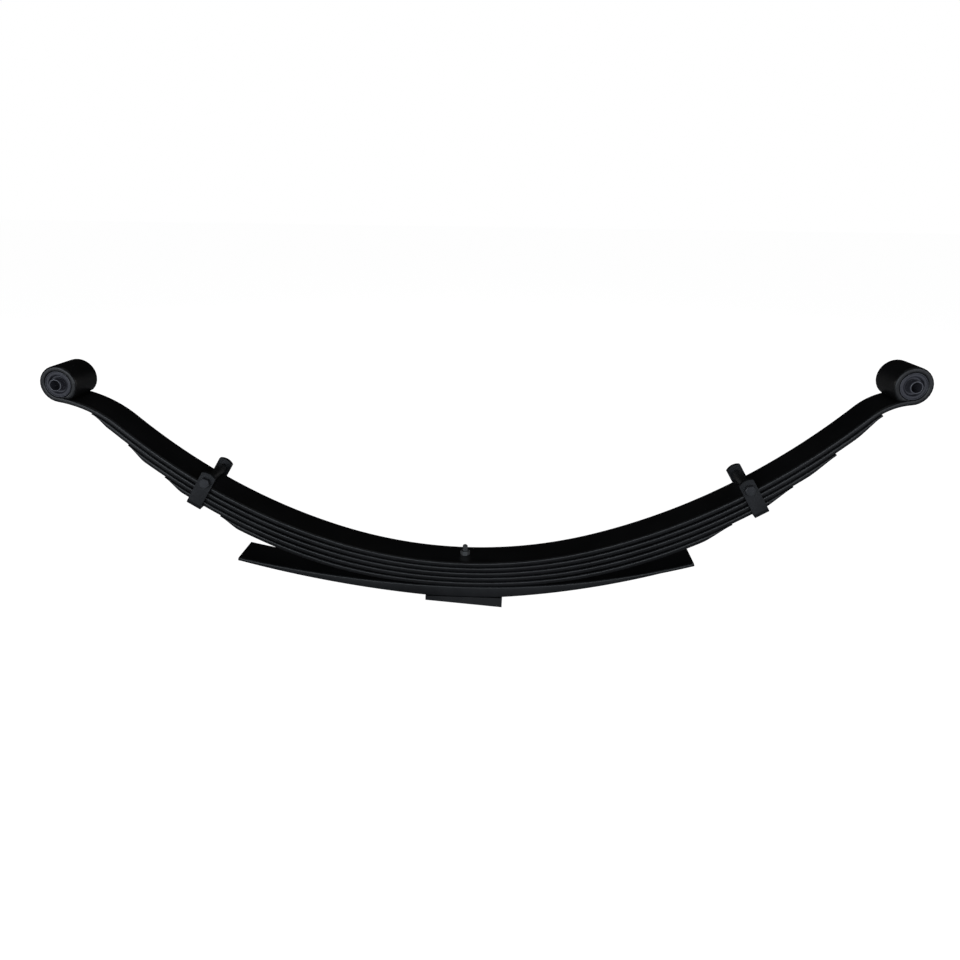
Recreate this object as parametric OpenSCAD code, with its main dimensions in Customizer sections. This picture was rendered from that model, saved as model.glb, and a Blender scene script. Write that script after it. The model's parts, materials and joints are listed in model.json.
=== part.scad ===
// Multi-leaf suspension spring: five graduated leaves, an overload leaf and a pinion-angle wedge
// on one centre bolt, a bonded bush in each eye and two bolted rebound clips.
// +X runs from the front eye to the rear eye, +Y across the leaves, +Z up along the centre bolt.
// The origin is where the centre bolt's axis meets the axle seat under the wedge.
// A place along the spring is its distance from the centre bolt, measured on the main leaf's top.

/* [Leaf pack] */
// Width of every leaf
leaf_w = 63.5; // [45:0.5:90]
// Thickness of each of the five pack leaves
leaf_t = 7.8; // [5:0.1:12]
// Gap between neighbouring leaves where they are clamped and where a tip bears
seat_gap = 0.15; // [0.05:0.05:0.5]
// Extra gap that opens between two leaves halfway along an arm
nip_gap = 1.2; // [0:0.1:2.5]
// Radius of the main leaf's top on either side of the centre bolt
centre_r = 680; // [500:10:1200]
// Length with that radius, on each side of the centre bolt
centre_run = 200; // [120:5:260]

/* [Front arm] */
// Radius of the arm beyond the centre stretch
front_arm_r = 840; // [650:5:1500]
// Length of the arm beyond the centre stretch, up to the neck
front_arm_run = 358; // [280:1:450]
// Radius of the neck that turns the leaf back under its eye
front_neck_r = 170; // [120:5:300]
// Slope at which the leaf reaches the eye, in degrees
front_eye_slope = 9; // [4:0.5:20]

/* [Rear arm] */
// Radius of the arm beyond the centre stretch
rear_arm_r = 925; // [700:5:1500]
// Length of the arm beyond the centre stretch, up to the neck
rear_arm_run = 430; // [330:5:520]
// Radius of the neck that turns the leaf back under its eye
rear_neck_r = 90; // [80:2:250]
// Slope at which the leaf reaches the eye, in degrees
rear_eye_slope = 5.5; // [4:0.5:20]

/* [Leaf tips] */
// Front: from the eye back to the second leaf's tip
front_tip_2 = 53; // [50:1:120]
// Front: from the second leaf's tip back to the third's
front_tip_3 = 69; // [40:1:110]
// Front: from the third leaf's tip back to the fourth's
front_tip_4 = 67; // [40:1:110]
// Front: from the fourth leaf's tip back to the fifth's
front_tip_5 = 95; // [75:1:120]
// Rear: from the eye back to the second leaf's tip
rear_tip_2 = 45; // [40:1:120]
// Rear: from the second leaf's tip back to the third's
rear_tip_3 = 80; // [40:1:120]
// Rear: from the third leaf's tip back to the fourth's
rear_tip_4 = 71; // [40:1:120]
// Rear: from the fourth leaf's tip back to the fifth's
rear_tip_5 = 97; // [80:1:120]
// Length over which a front tip thins
front_taper = 33; // [20:1:50]
// Length over which a rear tip thins
rear_taper = 49; // [20:1:55]
// Thickness at the rear tips of the second and third leaves
square_tip_t = 3; // [1.5:0.1:5]
// Thickness at every front tip, and at the rear tips of the fourth and fifth leaves
thin_tip_t = 1; // [0.8:0.1:4]

/* [Overload leaf] */
// Thickness between the pack and the wedge
overload_t = 17.5; // [10:0.5:22]
// Thickness at its ends
overload_tip_t = 5.6; // [3:0.1:9]
// Length from the centre bolt to its front end
overload_front = 350; // [280:5:360]
// Length from the centre bolt to its rear end
overload_rear = 350; // [280:5:390]
// Length of the full-thickness stretch on each side of the bolt
overload_flat = 60; // [45:1:80]
// Length over which the front half thins
overload_front_taper = 285; // [180:5:290]
// Length over which the rear half thins
overload_rear_taper = 240; // [180:5:290]
// Radius of its top, front half
overload_front_r = 1675; // [1500:25:4000]
// Radius of its top, rear half
overload_rear_r = 1175; // [1100:25:4000]

/* [Axle wedge] */
// Length along the spring
wedge_len = 118; // [90:1:150]
// Taper angle, in degrees
wedge_angle = 4; // [1:0.5:6]
// Thickness at the centre bolt
wedge_t = 11.3; // [8:0.1:18]

/* [Centre bolt] */
// Diameter of the shank
centre_bolt_d = 7.9; // [7:0.1:14]
// Diameter of the round locating head
centre_head_d = 16; // [13:0.5:22]
// Height of the head below the axle seat
centre_head_h = 7.5; // [4:0.5:12]
// Height of the shank above the main leaf
centre_bolt_above = 16.5; // [12:0.1:26]
// Across flats of the nut
centre_nut_af = 12.7; // [12:0.1:22]
// Height of the nut
centre_nut_h = 7; // [6:0.5:12]
// Radial room around the shank in every leaf
bolt_room = 0.3; // [0.1:0.05:0.8]

/* [Eye bushes] */
// Outer diameter of the bush, which presses into the eye
bush_d = 38; // [30:0.5:50]
// Wall of the bush's outer shell
shell_wall = 1.5; // [1:0.1:2.5]
// Outer diameter of the inner sleeve
sleeve_d = 18; // [16.5:0.5:22]
// Bore of the inner sleeve, for the mounting bolt
sleeve_bore = 14.3; // [10:0.1:15]
// How far the sleeve stands out of the eye at each end
sleeve_out = 7; // [2:0.5:12]
// Depth of the ring groove in each rubber face
rubber_groove = 4; // [1:0.5:6]
// How far the shell and rubber sit inside the eye's faces
bush_inset = 0.6; // [0.2:0.1:2]
// Chamfer at each end of the eye's bore
eye_chamfer = 1.2; // [0.5:0.1:2]
// Gap between the end of the scroll and the neck
scroll_gap = 1.2; // [0.6:0.1:3]

/* [Rebound clips] */
// Width of the strap along the spring
clip_w = 22; // [16:0.5:26]
// Thickness of the strap
clip_t = 6.35; // [3:0.05:7]
// Room between each leg and the leaves
clip_room = 1.5; // [0.5:0.1:3]
// Height of the legs above the main leaf
clip_above = 22; // [16:0.5:26]
// Radius of the domed top of each leg
clip_dome_r = 18; // [12:0.5:40]
// From the fourth leaf's front tip back to the front clip
front_clip_back = 55.5; // [44:0.5:60]
// From the fourth leaf's rear tip back to the rear clip
rear_clip_back = 55; // [50:0.5:66]
// Diameter of the clip bolt
clip_bolt_d = 9.5; // [6:0.5:10]
// Across flats of the clip bolt's head and nut
clip_hex_af = 14.3; // [10:0.1:16]
// Height of the clip bolt's head
clip_head_h = 6; // [4:0.5:8]
// Outer diameter of the spacer tube on the bolt
spacer_d = 13.5; // [12:0.5:16]
// Diameter of the rivet that holds the strap to the fourth leaf
rivet_d = 8; // [5:0.5:10]
// Diameter of the rivet's head
rivet_head_d = 15; // [12:0.5:18]
// Height of the rivet's head
rivet_head_h = 4; // [2:0.5:6]

/* [Hidden] */
$fn = 96;
FRONT = -1;
REAR = 1;
PACK = 5;
station = 12.5;
neck_station = 5;
press_room = 0.03;
sleeve_room = 0.05;
part_room = 0.2;
through = 400;
corner_chamfer = 1;
clip_bend_r = 2.5;
head_room = 1.5;
spot_floor = 0.5;
scroll_step = 4;
bore_stock = [0.15, 0.6];

seat_top = wedge_t;
overload_top = seat_top + overload_t;
pack_top = overload_top + PACK * (leaf_t + seat_gap);
shank_hole_r = centre_bolt_d / 2 + bolt_room;
clip_hole_r = clip_bolt_d / 2 + bolt_room;
eye_r = bush_d / 2 + leaf_t;
shell_len = leaf_w - 2 * bush_inset;
sleeve_len = leaf_w + 2 * sleeve_out;
clip_inside = leaf_w / 2 + clip_room;
clip_bolt_up = spacer_d / 2 + part_room;

// The main leaf's top as three arcs on each side, all in the plane of X and Z.
function arc_angle(run, r) = run / r * 180 / PI;
function arc_run(angle, r) = angle * PI / 180 * r;
function arm_r(side) = side == FRONT ? front_arm_r : rear_arm_r;
function arm_run(side) = side == FRONT ? front_arm_run : rear_arm_run;
function neck_r(side) = side == FRONT ? front_neck_r : rear_neck_r;
function eye_slope(side) = side == FRONT ? front_eye_slope : rear_eye_slope;
function centre_slope() = arc_angle(centre_run, centre_r);
function neck_slope(side) = centre_slope() + arc_angle(arm_run(side), arm_r(side));
function neck_at(side) = centre_run + arm_run(side);
function eye_at(side) = neck_at(side) + arc_run(neck_slope(side) - eye_slope(side), neck_r(side));

function slope_at(side, s) =
    s <= centre_run ? arc_angle(s, centre_r) :
    s <= neck_at(side) ? centre_slope() + arc_angle(s - centre_run, arm_r(side)) :
    neck_slope(side) - arc_angle(s - neck_at(side), neck_r(side));

// A step along an arc of radius r from slope a to slope b; a negative r bends downwards.
function arc_step(r, a, b) = r * [sin(b) - sin(a), cos(a) - cos(b)];

function top_point(side, s) =
    s <= centre_run ? arc_step(centre_r, 0, slope_at(side, s)) :
    s <= neck_at(side) ?
        top_point(side, centre_run) + arc_step(arm_r(side), centre_slope(), slope_at(side, s)) :
    top_point(side, neck_at(side)) + arc_step(-neck_r(side), neck_slope(side), slope_at(side, s));

// A point d below the main leaf's top, as if the arm ran towards +X.
function pack_point(side, s, d) =
    [0, pack_top] + top_point(side, s) + d * [sin(slope_at(side, s)), -cos(slope_at(side, s))];

// Where each leaf ends, and how deep its top lies below the main leaf's top.
function step_back(side, k) =
    side == FRONT ?
        [front_tip_2, front_tip_3, front_tip_4, front_tip_5][k - 2] :
        [rear_tip_2, rear_tip_3, rear_tip_4, rear_tip_5][k - 2];
function tip_at(side, k) = k < 2 ? eye_at(side) : tip_at(side, k - 1) - step_back(side, k);
function gap_below(side, k, s) = seat_gap + nip_gap * pow(sin(180 * s / tip_at(side, k + 1)), 2);
function leaf_depth(side, k, s) = k < 2 ? 0 : leaf_depth(side, k - 1, s) + leaf_t + gap_below(side, k - 1, s);

// Full thickness, easing down to the tip's thickness over the last stretch.
function ease(u) = u <= 0 ? 0 : u >= 1 ? 1 : u * u * (3 - 2 * u);
function tip_t(side, k) = side == REAR && k <= 3 ? square_tip_t : thin_tip_t;
function taper(side) = side == FRONT ? front_taper : rear_taper;
function leaf_thickness(side, k, s) =
    k < 2 ? leaf_t :
    leaf_t - (leaf_t - tip_t(side, k)) * ease(1 - (tip_at(side, k) - s) / taper(side));

function steps_to(from, to, step) =
    let (n = ceil((to - from) / step)) [for (i = [1 : n]) from + (to - from) * i / n];
function stations(run) = concat([0], steps_to(0, run, station));

// The neck bends tightest, so stations there lie closer and neighbouring leaves stay apart.
function leaf_stations(side, k) =
    let (tip = tip_at(side, k), neck = min(tip, neck_at(side)))
    concat([0], steps_to(0, neck, station), tip > neck ? steps_to(neck, tip, neck_station) : []);
function flip(side, p) = [side * p[0], p[1]];
function reversed(list) = [for (i = [len(list) - 1 : -1 : 0]) list[i]];

function half_top(side, k) =
    [for (s = leaf_stations(side, k)) flip(side, pack_point(side, s, leaf_depth(side, k, s)))];
function half_bottom(side, k) =
    [for (s = leaf_stations(side, k))
        flip(side, pack_point(side, s, leaf_depth(side, k, s) + leaf_thickness(side, k, s)))];
function without_first(list) = [for (i = [1 : len(list) - 1]) list[i]];

// The eye's centre sits one bush radius above the leaf where the neck ends.
function eye_centre(side) =
    flip(side, pack_point(side, eye_at(side), -bush_d / 2));
function on_eye(side, r, angle) =
    eye_centre(side) + flip(side, r * [cos(angle), sin(angle)]);
function eye_start(side) = eye_slope(side) - 90;

// The scroll stops where its outer corner meets the neck, less the gap.
function scroll_contact(side) =
    let (
        far = bush_d / 2 + neck_r(side),
        at_neck = acos((far * far + neck_r(side) * neck_r(side) - eye_r * eye_r) / (2 * far * neck_r(side)))
    )
    asin(neck_r(side) * sin(at_neck) / eye_r);
function scroll_turn(side) = 360 - scroll_contact(side) - arc_angle(scroll_gap, eye_r);

// The strip runs on round the scroll. Its inside keeps a little stock for the bore to cut.
function scroll_arc(side, r) =
    let (n = ceil(scroll_turn(side) / scroll_step))
    [for (i = [1 : n]) on_eye(side, r, eye_start(side) + scroll_turn(side) * i / n)];
function without_last(list) = [for (i = [0 : len(list) - 2]) list[i]];
function strip_inside(side) =
    concat(
        without_last(half_top(side, 1)),
        [on_eye(side, bush_d / 2 - bore_stock[0], eye_start(side))],
        scroll_arc(side, bush_d / 2 - bore_stock[1])
    );
function strip_outside(side) = concat(half_bottom(side, 1), scroll_arc(side, eye_r));

// Raises an outline drawn in X and Z to a slab of the given width, centred on Y.
module across(width) {
    rotate([90, 0, 0])
        linear_extrude(height = width, center = true)
            children();
}

// Puts a shape drawn along Z on an axis along Y, through a point given in X and Z.
module on_axis(point) {
    translate([point[0], 0, point[1]])
        rotate([90, 0, 0])
            children();
}

module tube(length, outer_r, inner_r) {
    difference() {
        cylinder(h = length, r = outer_r, center = true);
        cylinder(h = length + 2, r = inner_r, center = true);
    }
}

module hex_prism(height, flats) {
    cylinder(h = height, r = flats / 2 / cos(30), $fn = 6);
}

module shank_hole() {
    cylinder(h = through, r = shank_hole_r, center = true);
}

// Stands children on the main leaf's top at s: local X outwards along the leaf, local Z square to it.
module at_leaf(side, s) {
    p = flip(side, pack_point(side, s, 0));
    translate([p[0], 0, p[1]])
        mirror([side == FRONT ? 1 : 0, 0, 0])
            rotate([0, -slope_at(side, s), 0])
                children();
}

module eye_bore(side) {
    on_axis(eye_centre(side)) {
        cylinder(h = leaf_w + 2, r = bush_d / 2, center = true);
        for (end = [0, 1])
            mirror([0, 0, end])
                translate([0, 0, leaf_w / 2 - eye_chamfer])
                    cylinder(h = 2 * eye_chamfer, r1 = bush_d / 2, r2 = bush_d / 2 + 2 * eye_chamfer);
    }
}

module main_leaf() {
    color("#1b1c1f")
        difference() {
            across(leaf_w)
                polygon(concat(
                    strip_inside(REAR), reversed(strip_outside(REAR)),
                    without_first(strip_outside(FRONT)), reversed(without_first(strip_inside(FRONT)))
                ));
            eye_bore(FRONT);
            eye_bore(REAR);
            shank_hole();
        }
}

module pack_leaf(k) {
    color("#202124")
        difference() {
            across(leaf_w)
                polygon(concat(
                    half_top(REAR, k), reversed(half_bottom(REAR, k)),
                    without_first(half_bottom(FRONT, k)), reversed(without_first(half_top(FRONT, k)))
                ));
            shank_hole();
        }
}

// The fourth leaf also takes the rivet of each clip.
module riveted_leaf() {
    difference() {
        pack_leaf(4);
        for (side = [FRONT, REAR])
            at_leaf(side, clip_at(side))
                translate([0, 0, -strap_bottom(side)])
                    cylinder(h = 2 * leaf_t + clip_t, r = rivet_d / 2 + part_room, center = true);
    }
}

// The overload leaf's own curve: flatter than the pack, so its ends stand clear of it.
function overload_r(side) = side == FRONT ? overload_front_r : overload_rear_r;
function overload_len(side) = side == FRONT ? overload_front : overload_rear;
function overload_taper(side) = side == FRONT ? overload_front_taper : overload_rear_taper;
function overload_thickness(side, s) =
    let (u = (s - overload_flat) / overload_taper(side))
    overload_t - (overload_t - overload_tip_t) * min(max(u, 0), 1);
function overload_point(side, s, d) =
    let (slope = arc_angle(s, overload_r(side)))
    flip(side, [0, overload_top] + arc_step(overload_r(side), 0, slope) + d * [sin(slope), -cos(slope)]);
function overload_half(side, share) =
    [for (s = stations(overload_len(side))) overload_point(side, s, share * overload_thickness(side, s))];

module overload_leaf() {
    color("#1d1e21")
        difference() {
            across(leaf_w)
                polygon(concat(
                    overload_half(REAR, 0), reversed(overload_half(REAR, 1)),
                    without_first(overload_half(FRONT, 1)), reversed(without_first(overload_half(FRONT, 0)))
                ));
            shank_hole();
        }
}

// Thin towards the front; its spot face lets the bolt's round head sit square to the pack.
module axle_wedge() {
    half = wedge_len / 2;
    drop = half * tan(wedge_angle);
    color("#232427")
        difference() {
            across(leaf_w)
                polygon([[-half, seat_top], [half, seat_top], [half, -drop], [-half, drop]]);
            shank_hole();
            translate([0, 0, -wedge_t])
                cylinder(h = wedge_t + spot_depth(), r = spot_r());
        }
}

function spot_r() = centre_head_d / 2 + head_room;
function spot_depth() = spot_floor + spot_r() * tan(wedge_angle);

module centre_bolt() {
    head_r = centre_head_d / 2;
    shank_r = centre_bolt_d / 2;
    tip = pack_top + centre_bolt_above;
    color("#3a3b3e") {
        translate([0, 0, -centre_head_h])
            cylinder(h = corner_chamfer, r1 = head_r - corner_chamfer, r2 = head_r);
        translate([0, 0, corner_chamfer - centre_head_h])
            cylinder(h = centre_head_h + spot_depth() - corner_chamfer, r = head_r);
        cylinder(h = tip - corner_chamfer, r = shank_r);
        translate([0, 0, tip - corner_chamfer])
            cylinder(h = corner_chamfer, r1 = shank_r, r2 = shank_r - corner_chamfer);
    }
}

module centre_nut() {
    color("#4a4b4e")
        translate([0, 0, pack_top + part_room])
            difference() {
                hex_prism(centre_nut_h, centre_nut_af);
                cylinder(h = through, r = centre_bolt_d / 2 + sleeve_room, center = true);
            }
}

// The bush in one eye: a pressed steel shell, bonded rubber and a free inner sleeve.
module bush_shell(side) {
    color("#34363a")
        on_axis(eye_centre(side))
            tube(shell_len, bush_d / 2 - press_room, bush_d / 2 - shell_wall);
}

module bush_rubber(side) {
    inner_r = sleeve_d / 2 + sleeve_room;
    outer_r = bush_d / 2 - shell_wall;
    groove_r = (outer_r - inner_r) / 2 - 1;
    color("#2c2d30")
        on_axis(eye_centre(side))
            difference() {
                tube(shell_len - 2 * bush_inset, outer_r, inner_r);
                for (end = [0, 1])
                    mirror([0, 0, end])
                        translate([0, 0, shell_len / 2 - bush_inset])
                            rotate_extrude()
                                translate([(outer_r + inner_r) / 2, 0])
                                    groove_outline(groove_r);
            }
}

// A shallow V with a flat floor, as deep as the groove is set.
module groove_outline(half_width) {
    floor_half = half_width / 3;
    polygon([[-half_width, 1], [-half_width, 0], [-floor_half, -rubber_groove],
        [floor_half, -rubber_groove], [half_width, 0], [half_width, 1]]);
}

module bush_sleeve(side) {
    color("#5a5c60")
        on_axis(eye_centre(side))
            tube(sleeve_len, sleeve_d / 2, sleeve_bore / 2);
}

// One rebound clip: a riveted strap, and a bolt through a spacer tube above the leaves.
function clip_at(side) = tip_at(side, 4) - (side == FRONT ? front_clip_back : rear_clip_back);
function strap_bottom(side) = leaf_depth(side, 4, clip_at(side)) + leaf_t + part_room;

module u_outline(half_width, drop, bend_r) {
    translate([-half_width, bend_r - drop])
        square([2 * half_width, drop + clip_above - bend_r]);
    translate([bend_r - half_width, -drop])
        square([2 * (half_width - bend_r), 2 * bend_r]);
    for (end = [-1, 1])
        translate([end * (half_width - bend_r), bend_r - drop])
            circle(r = bend_r);
}

module leg_outline(drop) {
    dome_at = clip_above - clip_dome_r;
    intersection() {
        translate([-clip_w / 2, -drop])
            square([clip_w, drop + clip_above]);
        union() {
            translate([0, dome_at])
                circle(r = clip_dome_r);
            translate([-clip_w, -drop - 1])
                square([2 * clip_w, drop + 1 + dome_at]);
        }
    }
}

module clip_strap(side) {
    bottom = strap_bottom(side);
    color("#26282b")
        at_leaf(side, clip_at(side))
            difference() {
                intersection() {
                    rotate([90, 0, 90])
                        linear_extrude(height = clip_w, center = true)
                            difference() {
                                u_outline(clip_inside + clip_t, bottom + clip_t, clip_bend_r + clip_t);
                                u_outline_inside(bottom);
                            }
                    across(2 * (clip_inside + clip_t) + 2)
                        leg_outline(bottom + clip_t);
                }
                on_axis([0, clip_bolt_up])
                    cylinder(h = through, r = clip_hole_r, center = true);
                translate([0, 0, -bottom - clip_t / 2])
                    cylinder(h = 2 * clip_t, r = rivet_d / 2 + part_room, center = true);
            }
}

module u_outline_inside(bottom) {
    u_outline(clip_inside, bottom, min(clip_bend_r, clip_room));
    translate([-clip_inside, 0])
        square([2 * clip_inside, clip_above + 1]);
}

// The head is on the -Y side and the nut on the +Y side.
module clip_bolt(side) {
    reach = clip_inside + clip_t + part_room;
    nut_end = reach + clip_head_h + clip_bolt_d / 2;
    color("#56585c")
        at_leaf(side, clip_at(side))
            on_axis([0, clip_bolt_up]) {
                translate([0, 0, reach])
                    hex_prism(clip_head_h, clip_hex_af);
                translate([0, 0, -nut_end])
                    cylinder(h = nut_end + reach, r = clip_bolt_d / 2);
            }
}

module clip_nut(side) {
    reach = clip_inside + clip_t + part_room;
    color("#56585c")
        at_leaf(side, clip_at(side))
            on_axis([0, clip_bolt_up])
                translate([0, 0, -reach - clip_head_h])
                    difference() {
                        hex_prism(clip_head_h, clip_hex_af);
                        cylinder(h = through, r = clip_bolt_d / 2 + sleeve_room, center = true);
                    }
}

module clip_spacer(side) {
    color("#3c3e42")
        at_leaf(side, clip_at(side))
            on_axis([0, clip_bolt_up])
                tube(2 * (clip_inside - part_room), spacer_d / 2, clip_hole_r);
}

// Its shank fills the holes in the strap and the fourth leaf, and stops just short of the third leaf.
module clip_rivet(side) {
    bottom = strap_bottom(side) + clip_t;
    shank = clip_t + leaf_t;
    head_r = rivet_head_d / 2;
    dome_r = (head_r * head_r + rivet_head_h * rivet_head_h) / (2 * rivet_head_h);
    color("#2e3033")
        at_leaf(side, clip_at(side))
            translate([0, 0, -bottom]) {
                cylinder(h = shank, r = rivet_d / 2);
                intersection() {
                    translate([0, 0, dome_r - rivet_head_h])
                        sphere(r = dome_r);
                    translate([0, 0, -rivet_head_h - 1])
                        cylinder(h = rivet_head_h + 1, r = head_r);
                }
            }
}

main_leaf();
pack_leaf(2);  // leaf_2
pack_leaf(3);  // leaf_3
riveted_leaf();  // leaf_4
pack_leaf(5);  // leaf_5
overload_leaf();
axle_wedge();
centre_bolt();
centre_nut();
bush_shell(FRONT);  // front_bush_shell
bush_rubber(FRONT);  // front_bush_rubber
bush_sleeve(FRONT);  // front_bush_sleeve
bush_shell(REAR);  // rear_bush_shell
bush_rubber(REAR);  // rear_bush_rubber
bush_sleeve(REAR);  // rear_bush_sleeve
clip_strap(FRONT);  // front_clip_strap
clip_bolt(FRONT);  // front_clip_bolt
clip_nut(FRONT);  // front_clip_nut
clip_spacer(FRONT);  // front_clip_spacer
clip_rivet(FRONT);  // front_clip_rivet
clip_strap(REAR);  // rear_clip_strap
clip_bolt(REAR);  // rear_clip_bolt
clip_nut(REAR);  // rear_clip_nut
clip_spacer(REAR);  // rear_clip_spacer
clip_rivet(REAR);  // rear_clip_rivet
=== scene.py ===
import json
import math
import bpy
import numpy as np
from mathutils import Matrix, Vector


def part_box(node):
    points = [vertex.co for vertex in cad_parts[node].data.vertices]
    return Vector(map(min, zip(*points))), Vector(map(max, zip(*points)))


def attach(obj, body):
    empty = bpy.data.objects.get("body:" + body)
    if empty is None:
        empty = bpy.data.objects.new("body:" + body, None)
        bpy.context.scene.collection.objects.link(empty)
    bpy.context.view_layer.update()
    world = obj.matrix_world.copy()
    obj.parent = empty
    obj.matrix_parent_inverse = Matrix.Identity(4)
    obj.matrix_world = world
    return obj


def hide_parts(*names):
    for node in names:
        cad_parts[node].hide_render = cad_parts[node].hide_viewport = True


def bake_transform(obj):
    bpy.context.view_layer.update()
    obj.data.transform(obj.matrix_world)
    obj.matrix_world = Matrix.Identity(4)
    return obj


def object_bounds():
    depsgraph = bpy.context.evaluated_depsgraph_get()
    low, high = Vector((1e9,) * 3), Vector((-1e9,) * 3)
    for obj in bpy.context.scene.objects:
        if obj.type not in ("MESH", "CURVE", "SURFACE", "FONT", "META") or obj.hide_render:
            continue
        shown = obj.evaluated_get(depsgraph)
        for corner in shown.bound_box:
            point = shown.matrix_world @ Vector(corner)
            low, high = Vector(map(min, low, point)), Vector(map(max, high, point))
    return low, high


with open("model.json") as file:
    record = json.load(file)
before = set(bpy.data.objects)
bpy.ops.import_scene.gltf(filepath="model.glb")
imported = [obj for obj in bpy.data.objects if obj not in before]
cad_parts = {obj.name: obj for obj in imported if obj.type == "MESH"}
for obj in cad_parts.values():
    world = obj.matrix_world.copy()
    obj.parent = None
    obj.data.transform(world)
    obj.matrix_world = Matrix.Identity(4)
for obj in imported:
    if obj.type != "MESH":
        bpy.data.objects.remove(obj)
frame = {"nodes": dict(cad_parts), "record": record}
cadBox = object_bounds()
nodes = frame["nodes"]
mounts = {m["name"]: m for m in frame["record"]["mounts"]}
bpy.context.scene.view_settings.view_transform = "Standard"
print("frame loaded")

mm = 0.001

# the same arcs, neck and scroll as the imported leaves. Lengths are in millimetres, slopes in degrees
pack = {
    "width": 63.5,
    "thick": 7.8,
    "seatGap": 0.15,
    "nipGap": 1.2,
    "centreRadius": 680.0,
    "centreRun": 200.0,
    "bushRadius": 19.0,
    "scrollGap": 0.35,
    "scrollEnd": 0.24,  # radians left open under the scroll's thin end
    "holeRadius": 4.25,
    "squareTip": 3.0,  # thickness of the rear tips of leaves 2 and 3
    "thinTip": 0.8,  # thickness of every other tip
}
arms = {
    "front": {
        "sign": -1, "radius": 840.0, "run": 358.0, "neckRadius": 170.0, "eyeSlope": 9.0,
        "stepBacks": (53.0, 69.0, 67.0, 95.0), "taper": 33.0, "clipBack": 55.5,
        "overRadius": 1675.0, "overTaper": 285.0, "overLength": 350.0,
    },
    "rear": {
        "sign": 1, "radius": 925.0, "run": 430.0, "neckRadius": 90.0, "eyeSlope": 5.5,
        "stepBacks": (45.0, 80.0, 71.0, 97.0), "taper": 49.0, "clipBack": 55.0,
        "overRadius": 1175.0, "overTaper": 240.0, "overLength": 350.0,
    },
}
overload = {"thick": 17.5, "tipThick": 5.6, "flat": 60.0, "edgeRadius": 2.2}
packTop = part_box("main_leaf")[0].z / mm + pack["thick"]
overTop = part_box("overload_leaf")[0].z / mm + overload["thick"]


def eyeStart(arm):  # length along the leaf's top where the scroll begins
    neck = pack["centreRun"] / pack["centreRadius"] + arm["run"] / arm["radius"]
    turn = neck - math.radians(arm["eyeSlope"])
    return pack["centreRun"] + arm["run"] + turn * arm["neckRadius"]


def tipAt(arm, k):  # length along the main leaf's top where leaf k ends
    return eyeStart(arm) - sum(arm["stepBacks"][: k - 1])


def armCurve(arm, s):
    # point and slope after a length s: each arc adds its radius times the change in sine and
    # cosine of the slope. The neck bends the other way, and the scroll has the bush's radius
    neckRun = eyeStart(arm) - pack["centreRun"] - arm["run"]
    limits = np.cumsum([0, pack["centreRun"], arm["run"], neckRun])
    radii = (pack["centreRadius"], arm["radius"], -arm["neckRadius"], pack["bushRadius"])
    x = np.zeros_like(s)
    z = np.zeros_like(s)
    slope = np.zeros_like(s)
    for i, radius in enumerate(radii):
        length = limits[i + 1] - limits[i] if i < 3 else np.inf
        after = slope + np.clip(s - limits[i], 0, length) / radius
        x += radius * (np.sin(after) - np.sin(slope))
        z += radius * (np.cos(slope) - np.cos(after))
        slope = after
    return x, z, slope


def leafDepth(arm, k, s):  # how deep leaf k's top lies under the main leaf's top
    depth = np.zeros_like(s)
    for j in range(2, k + 1):
        nip = pack["nipGap"] * np.sin(np.pi * s / tipAt(arm, j)) ** 2
        depth += pack["thick"] + pack["seatGap"] + nip
    return depth


def smoothStep(u):  # eases from 0 to 1, level at both ends
    u = np.clip(u, 0, 1)
    return u * u * (3 - 2 * u)


scarf = {"turn": 1.2, "thinnest": 0.5}  # radians from the scroll's end, and millimetres


def scrollThickness(arm, s):
    # the scroll ends in a scarf: past its contact with the neck, the neck's own arc bounds it, at
    # far cos(turn) - root(neck^2 - far^2 sin(turn)^2) from the eye's centre
    turn = 2 * math.pi - (s - eyeStart(arm)) / pack["bushRadius"]
    far = pack["bushRadius"] + arm["neckRadius"]
    inside = np.clip(arm["neckRadius"] ** 2 - (far * np.sin(turn)) ** 2, 0, None)
    reach = far * np.cos(turn) - np.sqrt(inside)
    room = reach - pack["bushRadius"] - pack["scrollGap"]
    near = (turn < scarf["turn"]) & (s > eyeStart(arm))
    return np.where(near, np.clip(room, scarf["thinnest"], pack["thick"]), pack["thick"])


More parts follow.
